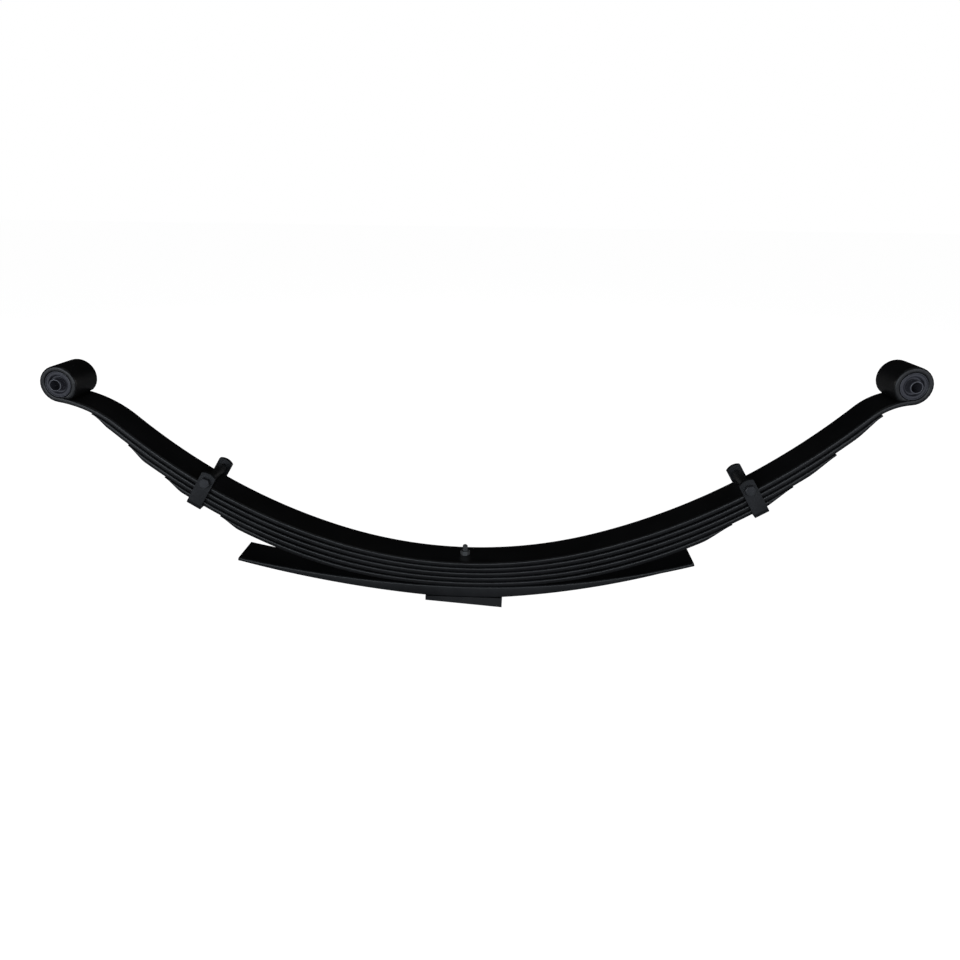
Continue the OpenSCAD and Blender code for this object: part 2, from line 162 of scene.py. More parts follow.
def gridMesh(
    name, points, wear, loopRows=False, capStart=False, capEnd=False, startFaces=(), sharp=32
):
    # points is rows x ring x 3 in millimetres. Each ring is closed, and rows join into quads
    rows, ring = points.shape[:2]
    index = np.arange(rows * ring).reshape(rows, ring)
    upper = np.roll(index, -1, 0) if loopRows else index[1:]
    lower = index if loopRows else index[:-1]
    quads = np.stack([lower, np.roll(lower, -1, 1), np.roll(upper, -1, 1), upper], -1)
    quads = quads.reshape(-1, 4)
    caps = list(startFaces)
    caps += [index[0][::-1]] if capStart else []
    caps += [index[-1]] if capEnd else []
    co = points.reshape(-1, 3) * mm
    corner = co[quads]
    spin = np.cross(corner[:, 2] - corner[:, 0], corner[:, 3] - corner[:, 1])
    inward = np.einsum("ij,ij->", corner.mean(1) - co.mean(0), spin) < 0
    if inward:
        quads = quads[:, ::-1]
        caps = [c[::-1] for c in caps]
    loops = np.concatenate([quads.ravel()] + caps)
    sizes = np.array([4] * len(quads) + [len(c) for c in caps])
    mesh = bpy.data.meshes.new(name)
    mesh.vertices.add(len(co))
    mesh.vertices.foreach_set("co", co.astype(np.float32).ravel())
    mesh.loops.add(len(loops))
    mesh.loops.foreach_set("vertex_index", loops.astype(np.int32))
    mesh.polygons.add(len(sizes))
    mesh.polygons.foreach_set("loop_start", (np.cumsum(sizes) - sizes).astype(np.int32))
    layer = mesh.attributes.new("wear", "FLOAT", "POINT")
    layer.data.foreach_set("value", wear.ravel().astype(np.float32))
    mesh.update(calc_edges=True)
    mesh.validate()
    mesh.shade_smooth()
    mesh.set_sharp_from_angle(angle=math.radians(sharp))
    obj = bpy.data.objects.new(name, mesh)
    bpy.context.scene.collection.objects.link(obj)
    return obj


def finishPiece(obj, slotName, node, body=None):  # a leaf is given no body here
    obj.data.materials.append(materials[slotName])
    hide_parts(node)
    if body:
        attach(obj, body)


def latheRows(profile, segments, centre):
    # profile is (axial, radius, wear) turned about an axis along Y through centre
    profile = np.array(profile, float)
    angle = np.linspace(0, 2 * np.pi, segments, endpoint=False)
    radius = profile[:, 1][:, None]
    points = np.stack([
        centre[0] + radius * np.cos(angle),
        np.repeat(profile[:, 0][:, None], segments, 1),
        centre[1] + radius * np.sin(angle),
    ], -1)
    return points, np.repeat(profile[:, 2][:, None], segments, 1)


def roundedCorners(corners, closed=True, steps=5):
    # corners is (axial, radius, fillet). Each fillet is a quadratic curve through its corner
    c = np.array(corners, float)
    out = []
    n = len(c)
    u = np.linspace(0, 1, steps)[:, None]
    for i in range(n):
        if c[i, 2] == 0 or (not closed and i in (0, n - 1)):
            out.append([[c[i, 0], c[i, 1], 0.0]])
            continue
        p = c[i, :2]
        a, b = c[i - 1, :2] - p, c[(i + 1) % n, :2] - p
        a = p + a / np.linalg.norm(a) * c[i, 2]
        b = p + b / np.linalg.norm(b) * c[i, 2]
        curve = (1 - u) ** 2 * a + 2 * u * (1 - u) * p + u ** 2 * b
        out.append(np.hstack([curve, np.sin(np.pi * u)]))
    return np.vstack(out)


def newMaterial(name):
    material = bpy.data.materials.new(name)
    material.use_nodes = True
    tree = material.node_tree
    return material, tree, tree.nodes["Principled BSDF"]


def link(tree, a, b):
    tree.links.new(a, b)


def makeSurfaceGroup():
    # one group for every painted part: two tones, roughness, worn edges and the paint's texture
    group = bpy.data.node_groups.new("paintedSurface", "ShaderNodeTree")
    face = group.interface
    for label, kind, value in (
        ("Tone A", "NodeSocketColor", (0.01, 0.01, 0.01, 1)),
        ("Tone B", "NodeSocketColor", (0.02, 0.02, 0.02, 1)),
        ("Worn", "NodeSocketColor", (0.1, 0.1, 0.1, 1)),
        ("Wear Amount", "NodeSocketFloat", 0.5),
        ("Roughness Low", "NodeSocketFloat", 0.35),
        ("Roughness High", "NodeSocketFloat", 0.5),
        ("Peel", "NodeSocketFloat", 0.2),
        ("Scale", "NodeSocketFloat", 1.0),
    ):
        face.new_socket(label, in_out="INPUT", socket_type=kind).default_value = value
    for label, kind in (
        ("Color", "NodeSocketColor"),
        ("Roughness", "NodeSocketFloat"),
        ("Normal", "NodeSocketVector"),
    ):
        face.new_socket(label, in_out="OUTPUT", socket_type=kind)
    new = group.nodes.new
    put = lambda a, b: group.links.new(a, b)
    source = new("NodeGroupInput")
    sink = new("NodeGroupOutput")
    coord = new("ShaderNodeTexCoord")
    scaled = new("ShaderNodeVectorMath")
    scaled.operation = "SCALE"
    put(coord.outputs["Object"], scaled.inputs[0])
    put(source.outputs["Scale"], scaled.inputs["Scale"])

    def noise(scale, detail, rough):
        node = new("ShaderNodeTexNoise")
        node.inputs["Scale"].default_value = scale
        node.inputs["Detail"].default_value = detail
        node.inputs["Roughness"].default_value = rough
        put(scaled.outputs[0], node.inputs["Vector"])
        return node.outputs["Fac"]

    def ramp(value, low, high):
        node = new("ShaderNodeMapRange")
        node.inputs["From Min"].default_value = low
        node.inputs["From Max"].default_value = high
        put(value, node.inputs["Value"])
        return node.outputs["Result"]

    patches = ramp(noise(14, 4, 0.6), 0.35, 0.68)  # blotches about 70 mm across
    dust = ramp(noise(420, 6, 0.65), 0.42, 0.72)  # specks of a few millimetres
    peel = noise(1100, 2, 0.5)  # the paint's own texture, about a millimetre
    scale = noise(90, 5, 0.6)  # rolled scale under the paint, about a centimetre
    chips = ramp(noise(260, 7, 0.75), 0.5, 0.62)  # where an edge has lost its paint

    tone = new("ShaderNodeMix")
    tone.data_type = "RGBA"
    put(patches, tone.inputs["Factor"])
    put(source.outputs["Tone A"], tone.inputs["A"])
    put(source.outputs["Tone B"], tone.inputs["B"])

    edge = new("ShaderNodeAttribute")
    edge.attribute_name = "wear"
    edgeNoise = new("ShaderNodeMath")
    edgeNoise.operation = "MULTIPLY"
    put(edge.outputs["Fac"], edgeNoise.inputs[0])
    put(chips, edgeNoise.inputs[1])
    worn = new("ShaderNodeMath")
    worn.operation = "MULTIPLY"
    put(edgeNoise.outputs[0], worn.inputs[0])
    put(source.outputs["Wear Amount"], worn.inputs[1])
    colour = new("ShaderNodeMix")
    colour.data_type = "RGBA"
    put(worn.outputs[0], colour.inputs["Factor"])
    put(tone.outputs["Result"], colour.inputs["A"])
    put(source.outputs["Worn"], colour.inputs["B"])
    put(colour.outputs["Result"], sink.inputs["Color"])

    both = new("ShaderNodeMath")
    both.operation = "MULTIPLY_ADD"
    put(dust, both.inputs[0])
    both.inputs[1].default_value = 0.45
    half = new("ShaderNodeMath")
    half.operation = "MULTIPLY"
    put(patches, half.inputs[0])
    half.inputs[1].default_value = 0.55
    put(half.outputs[0], both.inputs[2])
    rough = new("ShaderNodeMapRange")
    put(both.outputs[0], rough.inputs["Value"])
    put(source.outputs["Roughness Low"], rough.inputs["To Min"])
    put(source.outputs["Roughness High"], rough.inputs["To Max"])
    put(rough.outputs["Result"], sink.inputs["Roughness"])

    under = new("ShaderNodeBump")
    under.inputs["Strength"].default_value = 0.35
    under.inputs["Distance"].default_value = 0.0004
    put(scale, under.inputs["Height"])
    top = new("ShaderNodeBump")
    top.inputs["Distance"].default_value = 0.00015
    put(source.outputs["Peel"], top.inputs["Strength"])
    put(peel, top.inputs["Height"])
    put(under.outputs["Normal"], top.inputs["Normal"])
    put(top.outputs["Normal"], sink.inputs["Normal"])
    return group


surfaceGroup = makeSurfaceGroup()


def paintMaterial(name, look):
    material, tree, shader = newMaterial(name)
    node = tree.nodes.new("ShaderNodeGroup")
    node.node_tree = surfaceGroup
    node.inputs["Tone A"].default_value = (*look["toneA"], 1)
    node.inputs["Tone B"].default_value = (*look["toneB"], 1)
    node.inputs["Worn"].default_value = (*look["worn"], 1)
    node.inputs["Wear Amount"].default_value = look["wear"]
    node.inputs["Roughness Low"].default_value = look["rough"][0]
    node.inputs["Roughness High"].default_value = look["rough"][1]
    node.inputs["Peel"].default_value = look["peel"]
    node.inputs["Scale"].default_value = look.get("scale", 1.0)
    link(tree, node.outputs["Color"], shader.inputs["Base Color"])
    link(tree, node.outputs["Roughness"], shader.inputs["Roughness"])
    link(tree, node.outputs["Normal"], shader.inputs["Normal"])
    shader.inputs["Specular IOR Level"].default_value = look["specular"]
    shader.inputs["Metallic"].default_value = look.get("metal", 0.0)
    return material


looks = {
    "leaf_paint": {
        "toneA": (0.0050, 0.0052, 0.0058), "toneB": (0.0085, 0.0088, 0.0098),
        "worn": (0.050, 0.051, 0.054), "wear": 0.45, "rough": (0.30, 0.44),
        "peel": 0.30, "specular": 0.42,
    },
    "overload_paint": {
        "toneA": (0.0085, 0.0088, 0.0098), "toneB": (0.0140, 0.0145, 0.0160),
        "worn": (0.050, 0.051, 0.054), "wear": 0.45, "rough": (0.32, 0.48),
        "peel": 0.35, "specular": 0.42,
    },
    "wedge_paint": {
        "toneA": (0.0130, 0.0132, 0.0142), "toneB": (0.0200, 0.0203, 0.0216),
        "worn": (0.06, 0.06, 0.062), "wear": 0.5, "rough": (0.36, 0.52),
        "peel": 0.45, "specular": 0.42,
    },
    "centre_bolt_steel": {
        "toneA": (0.075, 0.078, 0.078), "toneB": (0.115, 0.118, 0.118),
        "worn": (0.22, 0.22, 0.23), "wear": 0.8, "rough": (0.28, 0.42),
        "peel": 0.15, "specular": 0.6, "scale": 2.0,
    },
    "bush_shell_steel": {
        "toneA": (0.046, 0.047, 0.058), "toneB": (0.066, 0.067, 0.082),
        "worn": (0.12, 0.12, 0.13), "wear": 0.3, "rough": (0.30, 0.42),
        "peel": 0.08, "specular": 0.5, "scale": 2.0,
    },
    "bush_rubber": {
        "toneA": (0.040, 0.040, 0.050), "toneB": (0.060, 0.060, 0.074),
        "worn": (0.045, 0.045, 0.047), "wear": 0.3, "rough": (0.46, 0.62),
        "peel": 0.08, "specular": 0.5, "scale": 2.4,
    },
    "bush_sleeve_steel": {
        "toneA": (0.060, 0.061, 0.074), "toneB": (0.088, 0.089, 0.106),
        "worn": (0.25, 0.25, 0.26), "wear": 0.3, "rough": (0.26, 0.38),
        "peel": 0.08, "specular": 0.6, "scale": 2.4,
    },
    "clip_strap_paint": {
        "toneA": (0.0085, 0.0092, 0.0110), "toneB": (0.0140, 0.0150, 0.0175),
        "worn": (0.06, 0.061, 0.065), "wear": 0.6, "rough": (0.30, 0.44),
        "peel": 0.35, "specular": 0.5, "scale": 1.4,
    },
    "clip_bolt_steel": {
        "toneA": (0.022, 0.023, 0.026), "toneB": (0.038, 0.040, 0.045),
        "worn": (0.16, 0.16, 0.17), "wear": 0.8, "rough": (0.28, 0.42),
        "peel": 0.15, "specular": 0.6, "scale": 2.2,
    },
    "clip_spacer_steel": {
        "toneA": (0.010, 0.0105, 0.011), "toneB": (0.017, 0.0175, 0.0185),
        "worn": (0.08, 0.08, 0.085), "wear": 0.5, "rough": (0.34, 0.48),
        "peel": 0.25, "specular": 0.5, "scale": 2.0,
    },
    "clip_rivet_steel": {
        "toneA": (0.008, 0.0083, 0.009), "toneB": (0.014, 0.0145, 0.0155),
        "worn": (0.08, 0.08, 0.085), "wear": 0.6, "rough": (0.32, 0.46),
        "peel": 0.25, "specular": 0.5, "scale": 2.0,
    },
}
materials = {name: paintMaterial(name, look) for name, look in looks.items()}
print("materials made:", len(materials))

leafShape = {
    "edgeRadius": 2.6,  # rolled edges of the flat bar
    "edgeShare": 0.42,  # of the thickness, where the leaf is thin
    "eyeInnerRadius": 2.0,  # edge at the bore of the eye
    "arcSteps": 5,
    "rowStep": 4.0,
    "tipRound": 0.7,
    "tipSteps": 4,
    "tipShare": 0.35,  # of the thickness, the most that a tip's rounding takes
    "holeSteps": 17,
    "nearRows": (12.0, 1.5),  # length and spacing of the close rows beside the hole
    "holeFade": 30.0,
    "eyeEdge": (34.0, 30.0),  # where the top edge starts to sharpen before the eye, and over what
    "tipWear": 0.8,
}


def acrossFlat():  # y of the points on a leaf's flat side, crowded together over the bolt hole
    turn = np.linspace(-np.pi / 2, np.pi / 2, leafShape["holeSteps"])
    hole = pack["holeRadius"] * np.sin(turn)
    return np.concatenate([[-22.0, -15.0, -9.0], hole, [9.0, 15.0, 22.0]])


def sectionTable():
    # one ring round the leaf's section. Each row: share of half width, y from the top radius, y
    # from the bottom radius, fixed y, share of thickness, depth from each of the radii, wear
    turn = np.linspace(0, np.pi / 2, leafShape["arcSteps"] + 1)
    flat = acrossFlat()
    z, one = np.zeros_like(turn), np.ones_like(turn)
    topArc = np.stack([one, np.sin(turn) - 1, z, z, z, 1 - np.cos(turn), z, np.sin(2 * turn)], 1)
    lowArc = np.stack([one, z, np.cos(turn) - 1, z, one, z, np.sin(turn) - 1, np.sin(2 * turn)], 1)
    zf, of = np.zeros_like(flat), np.ones_like(flat)
    topFlat = np.stack([zf, zf, zf, flat, zf, zf, zf, zf], 1)
    lowFlat = np.stack([zf, zf, zf, flat[::-1], of, zf, zf, zf], 1)
    mirror = np.array([-1, -1, -1, -1, 1, 1, 1, 1])
    farSide = [(lowArc * mirror)[::-1], (topArc * mirror)[::-1]]
    return np.vstack([topFlat, topArc, lowArc, lowFlat] + farSide)


section = sectionTable()


def sweepLeaf(name, arm, length, curve, thickness, topRadius, lowRadius):
    # rows run out from the centre bolt. Near it each row is pushed out by the hole's half circle,
    # root(hole radius^2 - y^2), which fades to nothing over holeFade
    nearLength, nearStep = leafShape["nearRows"]
    tipRound = leafShape["tipRound"]
    rows = int(length / leafShape["rowStep"])
    s = np.concatenate([
        np.arange(0, nearLength, nearStep),
        np.linspace(nearLength, length - tipRound, rows),
    ])
    turn = np.linspace(0, np.pi / 2, leafShape["tipSteps"] + 1)[1:]
    inset = np.concatenate([np.zeros(len(s)), tipRound * (1 - np.cos(turn))])
    s = np.concatenate([s, length - tipRound * (1 - np.sin(turn))])
    t, rt, rl = thickness(s)[:, None], topRadius(s)[:, None], lowRadius(s)[:, None]
    inset = np.minimum(inset[:, None], leafShape["tipShare"] * t)
    half = pack["width"] / 2
    y = section[:, 0] * half + section[:, 1] * rt + section[:, 2] * rl + section[:, 3]
    d = section[:, 4] * t + section[:, 5] * rt + section[:, 6] * rl
    y = y * (1 - inset / half)
    d = t / 2 + (d - t / 2) * (1 - 2 * inset / t)
    bite = np.sqrt(np.clip(pack["holeRadius"] ** 2 - y ** 2, 0, None))
    along = s[:, None] + bite * np.clip(1 - s[:, None] / leafShape["holeFade"], 0, 1)
    x, z, slope = curve(along)
    points = np.stack([arm["sign"] * (x + d * np.sin(slope)), y, z - d * np.cos(slope)], -1)
    wear = np.repeat(section[:, 7][None], len(s), 0)
    wear = np.maximum(wear, np.where(inset > 0, leafShape["tipWear"], 0))
    return gridMesh(name, points, wear, startFaces=boltFaces(), capEnd=True)


def boltFaces():
    # joins the first row's top to its bottom: quads along the flats, which make the hole's wall
    # within the hole, and one face for each rounded edge
    flat = len(acrossFlat())
    arc = leafShape["arcSteps"] + 1
    top = np.arange(flat)
    low = np.arange(flat + 2 * arc, 2 * flat + 2 * arc)[::-1]
    quads = np.stack([top[:-1], low[:-1], low[1:], top[1:]], 1)
    right = np.arange(flat - 1, flat + 2 * arc + 1)[::-1]
    left = np.append(np.arange(2 * flat + 2 * arc - 1, len(section)), 0)[::-1]
    return list(quads) + [right, left]


def leafPieces():
    for armName, arm in arms.items():
        for k in range(1, 6):
            node = "main_leaf" if k == 1 else f"leaf_{k}"
            tip = tipAt(arm, k)
            tipThick = pack["squareTip"] if k <= 3 and armName == "rear" else pack["thinTip"]
            scroll = (2 * math.pi - pack["scrollEnd"]) * pack["bushRadius"]
            length = tip + scroll if k == 1 else tip

            def thickness(s):
                if k == 1:
                    return scrollThickness(arm, s)
                thinner = smoothStep(1 - (tip - s) / arm["taper"])
                return pack["thick"] - (pack["thick"] - tipThick) * thinner

            def curve(s):
                x, z, slope = armCurve(arm, s)
                d = leafDepth(arm, k, s)
                return x + d * np.sin(slope), packTop + z - d * np.cos(slope), slope

            def lowRadius(s):
                return np.minimum(leafShape["edgeRadius"], leafShape["edgeShare"] * thickness(s))

            def topRadius(s):
                if k > 1:
                    return lowRadius(s)
                ahead, over = leafShape["eyeEdge"]
                into = smoothStep((s - tip + ahead) / over)
                return lowRadius(s) + (leafShape["eyeInnerRadius"] - lowRadius(s)) * into

            name = f"{node}_{armName}"
            obj = sweepLeaf(name, arm, length, curve, thickness, topRadius, lowRadius)
            finishPiece(obj, "leaf_paint", node)
            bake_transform(obj)


leafPieces()
print("leaves made")


def overloadPieces():
    for armName, arm in arms.items():
        radius = arm["overRadius"]

        def thickness(s):
            u = np.clip((s - overload["flat"]) / arm["overTaper"], 0, 1)
            return overload["thick"] - (overload["thick"] - overload["tipThick"]) * u

        def curve(s):
            slope = s / radius
            return radius * np.sin(slope), overTop + radius * (1 - np.cos(slope)), slope

        def edge(s):
            return np.minimum(overload["edgeRadius"], leafShape["edgeShare"] * thickness(s))

        name = f"overload_leaf_{armName}"
        obj = sweepLeaf(name, arm, arm["overLength"], curve, thickness, edge, edge)
        finishPiece(obj, "overload_paint", "overload_leaf", "pack")


overloadPieces()
print("overload leaf made")

bush = {
    "shellWall": 1.47,
    "shellLip": 0.7,
    "innerLip": 0.56,
    "rubberInside": 9.05,
    "rubberLip": 0.5,
    "collar": 1.6,  # depth of the rubber's thin end round the sleeve
    "collarLip": 0.2,
    "groove": 4.2,
    "grooveIn": 9.7,
    "grooveOut": 13.8,
    "grooveLip": 0.8,
    "grooveSlant": (0.3, 1.3),  # how far each wall leans in at the groove's floor
    "floorRound": (0.3, 1.2),
    "sleeveLip": 0.7,
    "boreLip": 0.5,
    "segments": 128,
    "sleeveSegments": 96,
}


def bushPieces():
    for side in arms:
        low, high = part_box(f"{side}_bush_shell")
        centre = ((low.x + high.x) / 2 / mm, (low.z + high.z) / 2 / mm)
        reach, radius = high.y / mm, (high.x - low.x) / 2 / mm
        inner = radius - bush["shellWall"]
        lip, innerLip = bush["shellLip"], bush["innerLip"]
        shell = roundedCorners([
            (reach, radius, lip), (-reach, radius, lip),
            (-reach, inner, innerLip), (reach, inner, innerLip),
        ])
        points, wear = latheRows(shell, bush["segments"], centre)
        obj = gridMesh(f"{side}_bush_shell_turned", points, wear, loopRows=True)
        finishPiece(obj, "bush_shell_steel", f"{side}_bush_shell", f"{side}_arm")

        low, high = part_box(f"{side}_bush_rubber")
        end, outside, inside = high.y / mm, (high.x - low.x) / 2 / mm, bush["rubberInside"]
        a, b, deep = bush["grooveIn"], bush["grooveOut"], bush["groove"]
        leanIn, leanOut = bush["grooveSlant"]
        roundIn, roundOut = bush["floorRound"]
        lip, collar, collarLip = bush["rubberLip"], bush["collar"], bush["collarLip"]
        nearEnd = [  # (axial, radius, fillet), from the outside in
            (-end, outside, lip), (-end, b, bush["grooveLip"]),
            (deep - end, b - leanOut, roundOut), (deep - end, a + leanIn, roundIn),
            (collar - end, a, collarLip), (collar - end, inside, collarLip),
        ]
        farEnd = [(-axial, radius, fillet) for axial, radius, fillet in nearEnd[::-1]]
        rubber = roundedCorners(farEnd[-1:] + nearEnd + farEnd[:-1])
        points, wear = latheRows(rubber, bush["segments"], centre)
        obj = gridMesh(f"{side}_bush_rubber_moulded", points, wear, loopRows=True, sharp=50)
        finishPiece(obj, "bush_rubber", f"{side}_bush_rubber", f"{side}_arm")

        low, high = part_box(f"{side}_bush_sleeve")
        end, outside = high.y / mm, (high.x - low.x) / 2 / mm
        inside = mounts[f"{side}_eye"]["dims"]["r_mm"]
        lip, boreLip = bush["sleeveLip"], bush["boreLip"]
        sleeve = roundedCorners([
            (end, outside, lip), (-end, outside, lip),
            (-end, inside, boreLip), (end, inside, boreLip),
        ])
        points, wear = latheRows(sleeve, bush["sleeveSegments"], centre)
        obj = gridMesh(f"{side}_bush_sleeve_turned", points, wear, loopRows=True)
        finishPiece(obj, "bush_sleeve_steel", f"{side}_bush_sleeve", f"{side}_sleeve")


bushPieces()
print("bushes made")

bolt = {
    "centreRadius": 3.95,
    "headHeight": 8.66,
    "headRound": 1.3,
    "headFlat": 1.6,  # rim left round the head's flat end
    "seatRound": (0.4, 0.3),
    "pitch": 1.5,
    "depth": 0.75,
    "pointChamfer": 1.3,
    "pointFlat": 1.4,
    "axisGap": 0.4,  # radius of the small face that closes each end
    "threadFrom": 62.0,
    "threadWear": 0.35,
    "segments": 64,
    "stepsPerTurn": 10,
}
nut = {
    "chamfer": 30.0,
    "topShare": 0.93,
    "washerFace": 0.6,
    "washerShare": 0.9,
    "drops": (0, 0.12, 0.3, 0.5, 0.8, 1.1, 1.5, 2.2),  # rows of the chamfer, down from the top
    "boreLip": (0.9, 0.8),  # across and along
    "room": 0.05,
    "segments": 96,
    "wornFrom": 1.1,  # in half widths over the flats, where a corner starts to wear
    "wornOver": 0.05,
}


def threadRadius(z, angle, major, top):
    # a thread is a triangle wave of z / pitch - angle / 2 pi, a little blunted at its crest and
    # root, and the end is chamfered by a line at 45 degrees
    wave = np.abs(2 * ((z / bolt["pitch"] - angle / (2 * np.pi)) % 1) - 1)
    r = major - bolt["depth"] * np.clip(1.25 * wave - 0.12, 0, 1)
    return np.minimum(r, major - bolt["pointChamfer"] + np.clip(top - z, 0, None))


def centreBolt():
    low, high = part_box("centre_bolt")
    head = (high.x - low.x) / 2 / mm
    bottom, top = low.z / mm, high.z / mm
    shank = bolt["centreRadius"]
    seat = bottom + bolt["headHeight"]
    seatOut, seatIn = bolt["seatRound"]
    plain = roundedCorners([
        (bottom, head - bolt["headFlat"], 0), (bottom, head, bolt["headRound"]),
        (seat, head, seatOut), (seat, shank, seatIn), (bolt["threadFrom"], shank, 0),
    ], closed=False)
    plain = np.vstack([[bottom, bolt["axisGap"], 0], plain])
    rows = np.arange(bolt["threadFrom"] + 0.1, top, bolt["pitch"] / bolt["stepsPerTurn"])
    z = np.concatenate([plain[:, 0], rows, [top, top]])
    angle = np.linspace(0, 2 * np.pi, bolt["segments"], endpoint=False)
    threaded = threadRadius(rows[:, None], angle[None], shank, top)
    ends = np.array([[shank - bolt["pointFlat"]], [bolt["axisGap"]]]) * np.ones_like(angle)
    r = np.vstack([np.repeat(plain[:, 1][:, None], len(angle), 1), threaded, ends])
    height = np.repeat(z[:, None], len(angle), 1)
    points = np.stack([r * np.cos(angle), r * np.sin(angle), height], -1)
    crest = np.clip((r - shank) / bolt["threadWear"] + 1, 0, 1)
    wear = crest * (z[:, None] > bolt["threadFrom"])
    obj = gridMesh("centre_bolt_turned", points, wear, capStart=True, capEnd=True, sharp=50)
    finishPiece(obj, "centre_bolt_steel", "centre_bolt", "pack")


def flatTop(flats):  # radius of the round face that the chamfer leaves
    return flats / 2 * nut["topShare"]


def hexRows(flats, height, bore, chamferBoth):
    # six flats: radius = flats / 2 / cos(angle to the nearest flat's middle), cut by a cone so
    # that each top corner is rounded off in a curve
    angle = np.linspace(0, 2 * np.pi, nut["segments"], endpoint=False)
    toFlat = (angle + np.pi / 6) % (np.pi / 3) - np.pi / 6
    hexagon = flats / 2 / np.cos(toFlat)
    slope = math.tan(math.radians(nut["chamfer"]))
    drop = np.array(nut["drops"])
    cone = flatTop(flats) + drop / slope
    top = [np.minimum(hexagon, c) for c in cone]
    z = list(height - drop)
    rows = top + [hexagon]
    if chamferBoth:
        rows += top[::-1]
        z += [height / 2] + list(drop[::-1])
    else:
        seat = np.full_like(angle, flats / 2 * nut["washerShare"])
        rows += [seat, seat]
        z += [nut["washerFace"], nut["washerFace"], 0]
    across, along = nut["boreLip"]
    rows += [np.full_like(angle, radius) for radius in (bore + across, bore, bore, bore + across)]
    z += [0, along, height - along, height]
    r = np.array(rows)
    z = np.array(z)
    corner = np.clip((hexagon / (flats / 2) - nut["wornFrom"]) / nut["wornOver"], 0, 1)
    outside = np.arange(len(rows)) < len(rows) - 4
    wear = corner[None] * outside[:, None] * np.ones_like(r)
    return r, z, angle, wear


def placeRows(r, z, angle, origin, across, along, out):
    # polar rows about the axis out, with across and along the other two directions
    o, a, b, c = (np.array(v, float) for v in (origin, across, along, out))
    flat = r[..., None] * (np.cos(angle)[:, None] * a + np.sin(angle)[:, None] * b)
    return o + flat + z[:, None, None] * c


def centreNut():
    low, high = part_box("centre_nut")
    flats = min(high.x - low.x, high.y - low.y) / mm
    bore = bolt["centreRadius"] + nut["room"]
    r, z, angle, wear = hexRows(flats, (high.z - low.z) / mm, bore, True)
    spin = 0 if high.x - low.x < high.y - low.y else math.pi / 6
    points = placeRows(r, z, angle + spin, (0, 0, low.z / mm), (1, 0, 0), (0, 1, 0), (0, 0, 1))
    obj = gridMesh("centre_nut_forged", points, wear, loopRows=True, sharp=30)
    finishPiece(obj, "centre_bolt_steel", "centre_nut", "pack")


centreBolt()
centreNut()
print("centre bolt made")

clip = {
    "boltRadius": 4.75,
    "flats": 14.3,
    "headHeight": 6.0,
    "spin": {"front": 0.35, "rear": 0.1},  # radians that each bolt is turned
    "underHead": 0.3,
    "strapRoom": 1.0,  # plain shank beyond the far leg before the thread starts
    "headFlat": 0.6,
    "tubeBore": 5.05,
    "tubeLips": (0.5, 0.4),
    "tubeSegments": 72,
    "lip": 1.1,
}
wedgeLip = 1.2


def clipPieces():
    for side, arm in arms.items():
        low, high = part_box(f"{side}_clip_bolt")
        x, z0 = (low.x + high.x) / 2 / mm, (low.z + high.z) / 2 / mm
        slope = armCurve(arm, np.array([tipAt(arm, 4) - arm["clipBack"]]))[2][0]
        along = (arm["sign"] * math.cos(slope), 0, math.sin(slope))
        up = (-arm["sign"] * math.sin(slope), 0, math.cos(slope))
        spin = clip["spin"][side]
        headOut, threadOut = -low.y / mm, high.y / mm
        headLow = headOut - clip["headHeight"]
        shank = clip["boltRadius"]
        r, z, angle, wear = hexRows(clip["flats"], clip["headHeight"], shank, False)
        r, z, wear = r[:-3], z[:-3], wear[:-3]
        r[-1] = shank
        threadFrom = -(reachOf(side) + clip["strapRoom"])
        steps = np.arange(threadFrom, -threadOut, -bolt["pitch"] / bolt["stepsPerTurn"])
        threaded = threadRadius(-steps[:, None], angle[None], shank, threadOut)
        full = np.ones_like(angle)
        crown = np.array([[bolt["axisGap"]], [flatTop(clip["flats"]) - clip["headFlat"]]]) * full
        point = np.array([[shank - bolt["pointFlat"]], [bolt["axisGap"]]]) * full
        radii = np.vstack([crown, r, [shank * full], threaded, point])
        height = np.concatenate([
            [headOut, headOut], z + headLow, [headLow - clip["underHead"]],
            steps, [-threadOut, -threadOut],
        ])
        worn = np.zeros_like(radii)
        worn[len(crown):len(crown) + len(wear)] = wear
        turned = angle + spin
        points = placeRows(radii, height, turned, (x, 0, z0), along, up, (0, -1, 0))
        name = f"{side}_clip_bolt_turned"
        obj = gridMesh(name, points, worn, capStart=True, capEnd=True, sharp=30)
        finishPiece(obj, "clip_bolt_steel", f"{side}_clip_bolt", f"{side}_arm")

        low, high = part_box(f"{side}_clip_nut")
        bore = clip["boltRadius"] + nut["room"]
        r, z, angle, wear = hexRows(clip["flats"], (high.y - low.y) / mm, bore, True)
        points = placeRows(r, z, angle - spin, (x, low.y / mm, z0), along, up, (0, 1, 0))
        obj = gridMesh(f"{side}_clip_nut_forged", points, wear, loopRows=True, sharp=30)
        finishPiece(obj, "clip_bolt_steel", f"{side}_clip_nut", f"{side}_arm")

        low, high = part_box(f"{side}_clip_spacer")
        end, outside = high.y / mm, (high.x - low.x) / 2 / mm
        bore = clip["tubeBore"]
        outer, inner = clip["tubeLips"]
        tube = roundedCorners([
            (end, outside, outer), (-end, outside, outer), (-end, bore, inner), (end, bore, inner),
        ])
        points, wear = latheRows(tube, clip["tubeSegments"], (x, z0))
        obj = gridMesh(f"{side}_clip_spacer_turned", points, wear, loopRows=True)
        finishPiece(obj, "clip_spacer_steel", f"{side}_clip_spacer", f"{side}_arm")


def reachOf(side):  # outer face of the strap's leg
    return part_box(f"{side}_clip_strap")[1].y / mm


clipPieces()


